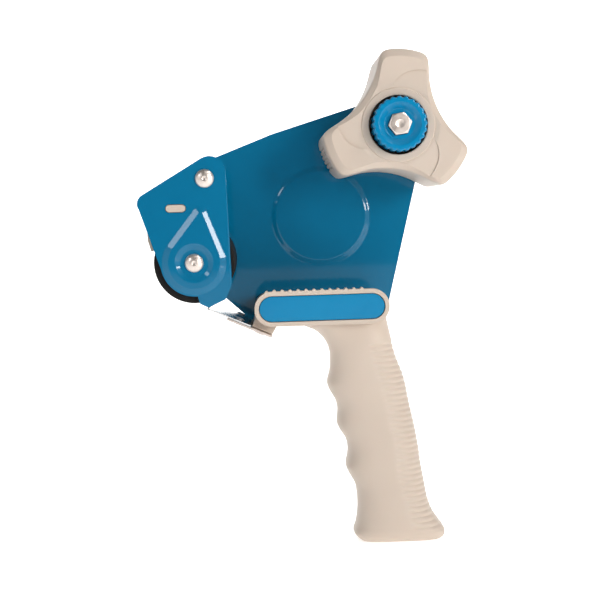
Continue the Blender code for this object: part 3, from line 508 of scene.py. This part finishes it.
def gripPoint(angle, z):  # a point of the grip's skin
    values = handleValues
    front = smoothValue(values["front"], z)
    back = smoothValue(values["back"], z)
    half = smoothValue(values["width"], z)
    c, s = math.cos(angle), math.sin(angle)
    square = values["footSquare"] + (values["square"] - values["footSquare"]) * ease(z / values["footRise"])
    across = math.copysign(abs(c) ** square, c)
    wide = math.copysign(abs(s) ** square, s)
    x = (front + back) / 2 + (back - front) / 2 * across
    reach = ease((x - smoothValue(values["ribEnds"], z)) / values["ribFade"])
    ends = ease((z - values["ribFrom"]) / 0.001) * ease((values["ribTo"] - z) / 0.001)
    wave = 0.5 - 0.5 * math.cos(math.tau * (z - values["ribFrom"]) / values["ribPitch"])
    sink = values["ribDepth"] * reach * ends * (1 - wave ** 0.6)
    return Vector((x - sink * max(c, 0.0), half * wide - sink * s, z))


def makeGrip():
    values = handleValues
    deselectAll()
    bpy.ops.mesh.primitive_cylinder_add(vertices=values["around"], radius=0.02, depth=values["top"],
                                        location=(0, 0, values["top"] / 2))
    grip = bpy.context.object
    bpy.ops.object.transform_apply(location=True, rotation=False, scale=False)
    bpy.ops.object.mode_set(mode="EDIT")
    bpy.ops.mesh.select_mode(type="EDGE")
    for cuts in values["ringCuts"]:  # twice, because one subdivide makes at most a hundred cuts
        bpy.ops.mesh.select_all(action="DESELECT")
        mesh = bmesh.from_edit_mesh(grip.data)
        for edge in mesh.edges:
            edge.select_set(abs(edge.verts[0].co.z - edge.verts[1].co.z) > 0.0001)
        bmesh.update_edit_mesh(grip.data)
        bpy.ops.mesh.subdivide(number_cuts=cuts, quadcorner="INNERVERT")
    mesh = bmesh.from_edit_mesh(grip.data)
    for vert in mesh.verts:
        vert.co = gripPoint(math.atan2(vert.co.y, vert.co.x), min(max(vert.co.z, 0.0), values["top"]))
    bmesh.update_edit_mesh(grip.data)
    return leaveEdit(grip)


def blockOutline():
    values = handleValues
    radius = values["blockHeight"] / 2
    x0, x1 = values["blockX"]
    z = values["blockZ"]
    leftX = x0 + radius

    def topAt(x):
        return z + math.sqrt(radius ** 2 - min(x - leftX, 0.0) ** 2)

    outline = arcPoints((x1 - radius, z), radius, -90, 90, 24)
    for i in reversed(range(values["topRibs"])):
        x = values["topRibFirst"] + values["topRibPitch"] * i
        for step, share in values["topRibShape"]:
            outline.append((x + step, topAt(x + step) + values["topRibRise"] * share))
    lastStep = values["topRibShape"][-1][0]
    start = math.degrees(math.acos((values["topRibFirst"] + lastStep - leftX) / radius))
    return outline + arcPoints((leftX, z), radius, start, 270, 20)[1:]


def onBlade(along):  # a point in side view, measured along the blade from its tip
    slope = math.radians(handleValues["bladeSlope"])
    x, z = handleValues["bladeTip"]
    return (x + along * math.cos(slope), z + along * math.sin(slope))


def makeHandle():
    values = handleValues
    grip = makeGrip()
    near, far = values["blockY"]
    x0, x1 = values["blockX"]
    low, height = values["blockZ"] - values["topDrop"] / 2, values["blockHeight"] - values["topDrop"]
    behind = stadiumOutline(x0, x1, low, height, 24)
    block = leaveEdit(traceSlab("block", behind, far, values["rimBack"] - 0.001))
    combine(grip, leaveEdit(traceSlab("ribbedRim", blockOutline(), values["rimBack"], near)), "UNION")
    nose = [onBlade(along) for along in values["noseAlong"]] + values["noseCorners"]
    combine(grip, block, "UNION")
    combine(grip, leaveEdit(traceSlab("nose", nose, *values["noseY"])), "UNION")
    rim = values["rim"]
    recess = stadiumOutline(x0 + rim, x1 - rim, values["blockZ"], values["blockHeight"] - 2 * rim, 24)
    floor = near + values["recess"]
    combine(grip, leaveEdit(traceSlab("recess", recess, floor, near - 0.002)), "DIFFERENCE")
    activate(grip)
    bpy.ops.object.duplicate()
    other = bpy.context.object
    for piece, name, sign, node in ((grip, "handleNearHalf", -1, "handle_near_half"),
                                    (other, "handleFarHalf", 1, "handle_far_half")):
        piece.name = name
        piece.data.name = name
        activate(piece)
        bpy.ops.object.mode_set(mode="EDIT")
        bpy.ops.mesh.select_all(action="SELECT")
        bpy.ops.mesh.bisect(plane_co=(0, sign * values["joint"], 0), plane_no=(0, sign, 0),
                            use_fill=True, clear_inner=True, clear_outer=False)
        leaveEdit(piece)
        soften(piece, values["edge"], 2, 48, 40)
        finishPiece(piece, "frame", "satinBeigeAbs", node)


panelValues = {"edge": 0.0003, "around": 28}


def makePanel():
    low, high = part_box("oval_panel")
    height = high.z - low.z
    outline = stadiumOutline(low.x, high.x, (low.z + high.z) / 2, height, panelValues["around"])
    panel = leaveEdit(traceSlab("ovalPanel", outline, high.y, low.y))
    soften(panel, panelValues["edge"], 3, 50)
    finishPiece(panel, "frame", "glossBlueAbs", "oval_panel")


makeHandle()
makePanel()
print("handle made")


hubValues = {
    "radius": 0.0374, "turn": 83.0, "webCentre": 0.0689, "webRadius": 0.0474,
    "cornerStep": 2.4, "cornerWeights": (1, 6, 15, 20, 15, 6, 1),
    "near": -0.0260, "shoulder": -0.0210, "far": 0.0230, "wall": 0.0022, "around": 180,
    "recess": 0.0146, "recessFloor": -0.0074, "bush": 0.0045, "cup": 0.0179, "tube": 0.0090,
    "swirl": [(-6.0, 15.0), (-2.8, 19.1), (-1.3, 21.8), (0.9, 23.9), (3.4, 25.4), (6.2, 26.3), (10.0, 26.7),
              (14.1, 26.5), (20.0, 26.0)],
    "swirlCorners": [(34, 20), (34, 4), (8, 4)], "swirlReach": 22.5, "swirlDepth": 0.0008, "swirlTurn": -85,
    "grooveTurns": (-8.0, -4.0, 0.0, 4.0, 8.0), "grooveHalf": 0.0019, "grooveDepth": 0.0008,
    "grooveFrom": -0.0120,
    # the rim's rings, as how far each is drawn in and how far it rises; then the collar and the gutter round the
    # recess, as radius and distance behind the face
    "shoulders": [(0.0001, 0.0012), (0.0005, 0.0012), (0.0009, 0.0005), (0.0038, 0.0020), (0.0043, 0.0001)],
    "collar": [(0.0150, 0.003), (0.0184, 0.003), (0.0184, 0.0001), (0.0180, 0), (0.0172, 0), (0.0150, 0)],
    "gutter": [(0.0178, -0.001), (0.0178, 0.0001), (0.0183, 0.0006), (0.0200, 0.0003), (0.0214, -0.0001),
               (0.0214, -0.001)],
    "frontWall": 0.0045, "cupFloor": -0.0050, "past": 0.030, "edge": 0.0003, "roundSteps": 72,
}


def sharpRadius(angle):  # three lobes between three round hollows, before the corners are rounded
    values = hubValues
    off = math.radians(abs((angle - values["turn"]) % 120 - 60))
    beside = values["webCentre"] * math.sin(off)
    if beside >= values["webRadius"]:
        return values["radius"]
    web = values["webCentre"] * math.cos(off) - math.sqrt(values["webRadius"] ** 2 - beside ** 2)
    return min(values["radius"], web)


def hubRadius(angle):
    weights = hubValues["cornerWeights"]
    middle = len(weights) // 2
    step = hubValues["cornerStep"]
    near = [sharpRadius(angle + step * (k - middle)) * w for k, w in enumerate(weights)]
    return sum(near) / sum(weights)


def hubOutline(inset):
    count = hubValues["around"]
    points = []
    for k in range(count):
        angle = 360 * k / count
        radius = hubRadius(angle) - inset
        turn = math.radians(angle)
        points.append((hubAt.x + radius * math.cos(turn), hubAt.z + radius * math.sin(turn)))
    return points


def swirlTool(turn):  # a shallow wedge that cuts one blade of the swirl
    arc = hubValues["swirl"]
    shape = arc + hubValues["swirlCorners"]
    near = hubValues["near"]
    spin = Matrix.Rotation(math.radians(turn), 2)
    outline = []
    for x, z in shape:
        p = spin @ Vector((x, z))
        outline.append((hubAt.x + p.x / 1000, hubAt.z + p.y / 1000))
    tool = traceSlab("swirlTool", outline, near - 0.003, near + 0.0002)
    mesh = bmesh.from_edit_mesh(tool.data)
    for vert in mesh.verts:
        if vert.co.y > near:
            local = spin.inverted() @ Vector((vert.co.x - hubAt.x, vert.co.z - hubAt.z))
            share = (local.y * 1000 - hubValues["swirlCorners"][-1][1]) / hubValues["swirlReach"]
            vert.co.y = near - 0.0001 + hubValues["swirlDepth"] * share
    bmesh.update_edit_mesh(tool.data)
    return leaveEdit(tool)


def grooveTool(turn):  # a V that runs along the hub's far end, where the lobes grip the core of the tape
    values = hubValues
    spin = Matrix.Rotation(math.radians(turn), 2)
    radius = values["radius"]
    outline = []
    for x, z in ((radius + 0.001, values["grooveHalf"]), (radius - values["grooveDepth"], 0),
                 (radius + 0.001, -values["grooveHalf"])):
        p = spin @ Vector((x, z))
        outline.append((hubAt.x + p.x, hubAt.z + p.y))
    return leaveEdit(traceSlab("grooveTool", outline, values["grooveFrom"], values["far"] + 0.001))


def makeHub():
    values = hubValues
    near, far = values["near"], values["far"]
    body = traceSlab("hubBody", hubOutline(0), far, values["shoulder"])
    outwardFace(body, (0, -1, 0))
    for inset, rise in values["shoulders"]:  # the next ring of the rim: raised, then drawn in
        bpy.ops.mesh.extrude_region_move(TRANSFORM_OT_translate={"value": (0, -rise, 0)})
        mesh = bmesh.from_edit_mesh(body.data)
        for vert in mesh.verts:
            if vert.select:
                angle = math.atan2(vert.co.z - hubAt.z, vert.co.x - hubAt.x)
                radius = hubRadius(math.degrees(angle)) - inset
                vert.co.x = hubAt.x + radius * math.cos(angle)
                vert.co.z = hubAt.z + radius * math.sin(angle)
        bmesh.update_edit_mesh(body.data)
    leaveEdit(body)
    lobes = [values["turn"] + 120 * k for k in range(3)]
    swirls = [swirlTool(lobe + values["swirlTurn"]) for lobe in lobes]
    grooves = [grooveTool(lobe + off) for lobe in lobes for off in values["grooveTurns"]]
    for tools in (swirls, grooves):
        activate(tools[0])
        for tool in tools:
            tool.select_set(True)
        bpy.ops.object.join()
        combine(body, tools[0], "DIFFERENCE")
    steps, past = values["roundSteps"], values["past"]
    collar = [(radius, near + behind) for radius, behind in values["collar"]]
    combine(body, turnPiece("collar", hubAt, collar, steps, ring=True), "UNION")
    gutter = [(radius, near + behind) for radius, behind in values["gutter"]]
    combine(body, turnPiece("gutter", hubAt, gutter, steps, ring=True), "DIFFERENCE")
    hollow = leaveEdit(traceSlab("hollow", hubOutline(values["wall"]), far + 0.001, near + values["frontWall"]))
    core = [(0, past), (values["tube"], past), (values["tube"], values["cupFloor"]),
            (values["cup"], values["cupFloor"]), (values["cup"], -past), (0, -past)]
    combine(hollow, turnPiece("core", hubAt, core, steps), "DIFFERENCE")
    combine(body, hollow, "DIFFERENCE")
    bore = [(0, past), (values["bush"], past), (values["bush"], values["recessFloor"]),
            (values["recess"], values["recessFloor"]), (values["recess"], -past), (0, -past)]
    combine(body, turnPiece("bore", hubAt, bore, steps), "DIFFERENCE")
    soften(body, values["edge"], 2, 28, 26)
    finishPiece(body, "hub", "satinBeigeAbs", "hub_body")


knobValues = {
    "radius": 0.0134, "flutes": 24, "fluteDepth": 0.0007, "perFlute": 8, "front": -0.0335, "back": -0.0200,
    "lip": 0.0104, "floorRadius": 0.0076, "floor": -0.0309, "pocket": 0.0106, "pocketFloor": -0.0295,
    "bore": 0.0033, "rimDepth": 0.0012, "edge": 0.00012,
    "rimSteps": [(0.0001, 0.0005), (0.0002, 0.0004), (0.0003, 0.0002), (0.0004, 0.0001)],
}


def hexOutline(flats):
    return arcPoints((hubAt.x, hubAt.z), flats / math.sqrt(3), 8, 308, 5)


def makeKnob():
    values = knobValues
    outline = []
    count = values["flutes"] * values["perFlute"]
    for k in range(count):
        a = math.tau * k / count
        radius = values["radius"] - values["fluteDepth"] * (0.5 - 0.5 * math.cos(values["flutes"] * a)) ** 1.5
        outline.append((hubAt.x + radius * math.cos(a), hubAt.z + radius * math.sin(a)))
    knob = traceSlab("brakeKnob", outline, values["back"], values["front"] + values["rimDepth"])
    outwardFace(knob, (0, -1, 0))
    stepInward(values["rimSteps"])
    leaveEdit(knob)
    front, floor = values["front"], values["floor"]
    dish = [(0, 0.0), (values["bore"], 0.0), (values["bore"], floor), (values["floorRadius"] - 0.0005, floor),
            (values["floorRadius"], floor - 0.0001), (values["floorRadius"] + 0.0003, floor - 0.0005),
            (values["lip"] - 0.0003, front + 0.0004), (values["lip"], front + 0.0001),
            (values["lip"] + 0.0004, front - 0.0001), (values["lip"] + 0.0004, front - 0.001),
            (0, front - 0.001)]
    combine(knob, turnPiece("dish", hubAt, dish, 96), "DIFFERENCE")
    pocket = traceSlab("pocket", hexOutline(values["pocket"]), values["pocketFloor"], floor - 0.001)
    combine(knob, leaveEdit(pocket), "DIFFERENCE")
    soften(knob, values["edge"], 2, 60, 50)
    finishPiece(knob, "knob", "glossBlueAbs", "brake_knob")


boltValues = {
    "flats": 0.0100, "head": 0.0040, "shank": 0.0030, "chamfer": 0.0004, "edge": 0.0001,
    "mark": (0.0022, 0.0018), "markDepth": 0.00022,
}


def makeBolt():
    low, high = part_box("hub_bolt")
    values = boltValues
    seat = low.y + values["head"]
    head = leaveEdit(traceSlab("hubBolt", hexOutline(values["flats"]), seat, low.y))
    corner = values["flats"] / math.sqrt(3)
    flat = values["flats"] / 2
    bullet = [(0, low.y), (flat - 0.0004, low.y), (flat - 0.0001, low.y + 0.00012), (corner, low.y + 0.0007),
              (corner + 0.001, low.y + 0.0012), (corner + 0.001, seat + 0.001), (0, seat + 0.001)]
    combine(head, turnPiece("bullet", hubAt, bullet, 72), "INTERSECT")
    (rim, floor), sunk = values["mark"], low.y + values["markDepth"]
    mark = [(0, low.y - 0.001), (rim, low.y - 0.001), (rim, low.y + 0.00005), (floor, sunk), (0, sunk)]
    combine(head, turnPiece("mark", hubAt, mark, 48), "DIFFERENCE")
    shank = values["shank"]
    tip = [(0, seat - 0.001), (shank, seat - 0.001), (shank, high.y - values["chamfer"]),
           (shank - values["chamfer"], high.y), (0, high.y)]
    combine(head, turnPiece("shank", hubAt, tip, 48), "UNION")
    soften(head, values["edge"], 2, 25)
    finishPiece(head, "knob", "zincPlatedSteel", "hub_bolt")


makeHub()
makeKnob()
makeBolt()
print("hub and brake made")


roundedNodes = [
    ("guide_bar", "guideBar", 0.00025, "satinBeigeAbs", "frame"),
    ("tape_flap", "tapeFlap", 0.00025, "satinBeigeAbs", "flap"),
    ("blade_carrier", "bladeCarrier", 0.00015, "zincPlatedSteel", "frame"),
    ("cutter_blade", "cutterBlade", 0.00006, "groundBladeSteel", "frame"),
    ("bolt_nut", "boltNut", 0.0003, "zincPlatedSteel", "frame"),
    ("lock_washer", "lockWasher", 0.0002, "zincPlatedSteel", "frame"),
    ("friction_disc", "frictionDisc", 0.0002, "pressedFibre", "frame"),
]
for node, name, width, look, body in roundedNodes:
    piece = refinedCopy(node, name, width)
    finishPiece(piece, body, look, node)

keptNodes = {
    "zincPlatedSteel": ["upper_spacer", "roller_washer_near", "roller_washer_far", "flap_pin", "blade_rivet_1",
                        "blade_rivet_2", "carrier_screw_1", "carrier_screw_2", "block_screw_1", "block_screw_2",
                        "block_screw_3", "grip_screw_1", "grip_screw_2", "pressure_washer"],
    "greyAbs": ["roller_core"],
    "drawnSpringWire": ["flap_spring", "brake_spring"],
    "turnedBrass": ["hub_bush"],
}
for look, names in keptNodes.items():
    for name in names:
        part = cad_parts[name]
        part.data.materials.clear()
        part.data.materials.append(finish[look])
print("other parts finished")


studio = {
    "cameraAt": (-0.0680, -0.5869, 0.1710), "cameraTurn": (85.6745, 1.7538, -2.0049), "lens": 68.4,
    "floor": "#f4f4f3", "world": "#ffffff", "worldStrength": 0.10, "horizonStrength": 0.75,
    "horizonRise": (0.16, 0.42), "darkSide": (-0.93, -0.82),
    "paperGlow": 0.55,
    # name, place, aim, width, height, power, colour
    "lights": [("keyRight", (0.66, -0.98, 0.42), (-0.05, 0, 0.17), 0.28, 0.40, 6.6, "#fffaf5"),
               ("fillLeft", (-0.78, -0.97, 0.70), (-0.05, 0, 0.16), 0.24, 0.34, 1.6, "#f6faff"),
               ("highFront", (0.30, -0.90, 1.25), (-0.04, 0, 0.14), 0.60, 0.60, 1.0, "#ffffff"),
               ("topRight", (0.62, -0.42, 1.10), (-0.04, 0, 0.14), 0.35, 0.35, 3.0, "#ffffff"),
               ("backdropWash", (0.0, 0.90, 1.90), (0.0, 2.9, 0.5), 2.4, 0.8, 60.0, "#ffffff")],
}


def makeStudio():
    low = cadBox[0][2]
    deselectAll()
    bpy.ops.mesh.primitive_plane_add(size=6, location=(0, 0, low - 0.0002))
    floor = bpy.context.object
    floor.name = "paleFloor"
    bpy.ops.object.mode_set(mode="EDIT")
    bpy.ops.mesh.select_mode(type="EDGE")
    bpy.ops.mesh.select_all(action="DESELECT")
    mesh = bmesh.from_edit_mesh(floor.data)
    for edge in mesh.edges:
        edge.select_set(all(v.co.y > 2.9 for v in edge.verts))
    bmesh.update_edit_mesh(floor.data)
    bpy.ops.mesh.extrude_region_move(TRANSFORM_OT_translate={"value": (0, 0, 3)})
    bpy.ops.mesh.select_all(action="DESELECT")
    mesh = bmesh.from_edit_mesh(floor.data)
    for edge in mesh.edges:
        edge.select_set(all(v.co.y > 2.9 and v.co.z < 0.1 for v in edge.verts))
    bmesh.update_edit_mesh(floor.data)
    bpy.ops.mesh.bevel(offset=1.2, segments=16, affect="EDGES")
    bpy.ops.object.mode_set(mode="OBJECT")
    bpy.ops.object.shade_smooth()
    paper = bpy.data.materials.new("seamlessPaper")
    paper.use_nodes = True
    shader = paper.node_tree.nodes["Principled BSDF"]
    shader.inputs["Base Color"].default_value = linearColour(studio["floor"])
    shader.inputs["Roughness"].default_value = 0.9
    shader.inputs["Specular IOR Level"].default_value = 0.1
    shader.inputs["Emission Color"].default_value = linearColour("#ffffff")
    shader.inputs["Emission Strength"].default_value = studio["paperGlow"]
    floor.data.materials.append(paper)
    for name, place, aim, width, height, power, colour in studio["lights"]:
        bpy.ops.object.light_add(type="AREA", location=place)
        lamp = bpy.context.object
        lamp.name = name
        lamp.rotation_euler = (Vector(aim) - Vector(place)).to_track_quat("-Z", "Y").to_euler()
        lamp.data.shape = "RECTANGLE"
        lamp.data.size = width
        lamp.data.size_y = height
        lamp.data.energy = power
        lamp.data.color = linearColour(colour)[:3]
    world = bpy.data.worlds.new("studioWorld")
    world.use_nodes = True
    world.node_tree.nodes["Background"].inputs["Color"].default_value = linearColour(studio["world"])
    # pale walls all round up to head height, and a dark ceiling; the wall the front faces is dark as well, so that
    # the gloss of the paint stays deep
    tree = world.node_tree
    look = addNode(tree, "ShaderNodeTexCoord", {}, {}).outputs["Generated"]
    split = addNode(tree, "ShaderNodeSeparateXYZ", {}, {0: look})
    low, high = studio["horizonRise"]
    smooth = {"interpolation_type": "SMOOTHSTEP", "From Min": low, "From Max": high}
    wall = addNode(tree, "ShaderNodeMapRange", {**smooth, "To Min": 1.0, "To Max": 0.0}, {"Value": split.outputs["Z"]})
    low, high = studio["darkSide"]
    side = addNode(tree, "ShaderNodeMapRange", {"interpolation_type": "SMOOTHSTEP", "From Min": low, "From Max": high},
                   {"Value": split.outputs["Y"]})
    both = addNode(tree, "ShaderNodeMath", {"operation": "MULTIPLY"}, {0: wall.outputs[0], 1: side.outputs[0]})
    glow = addNode(tree, "ShaderNodeMapRange", {"To Min": studio["worldStrength"],
                                                "To Max": studio["horizonStrength"]}, {"Value": both.outputs[0]})
    tree.links.new(glow.outputs[0], tree.nodes["Background"].inputs["Strength"])
    bpy.context.scene.world = world
    turn = [math.radians(a) for a in studio["cameraTurn"]]
    bpy.ops.object.camera_add(location=studio["cameraAt"], rotation=turn)
    camera = bpy.context.object
    camera.data.lens = studio["lens"]
    camera.data.sensor_width = 36
    camera.data.clip_start = 0.01
    bpy.context.scene.camera = camera


makeStudio()
bpy.context.scene.view_settings.view_transform = "Standard"
print("studio made")
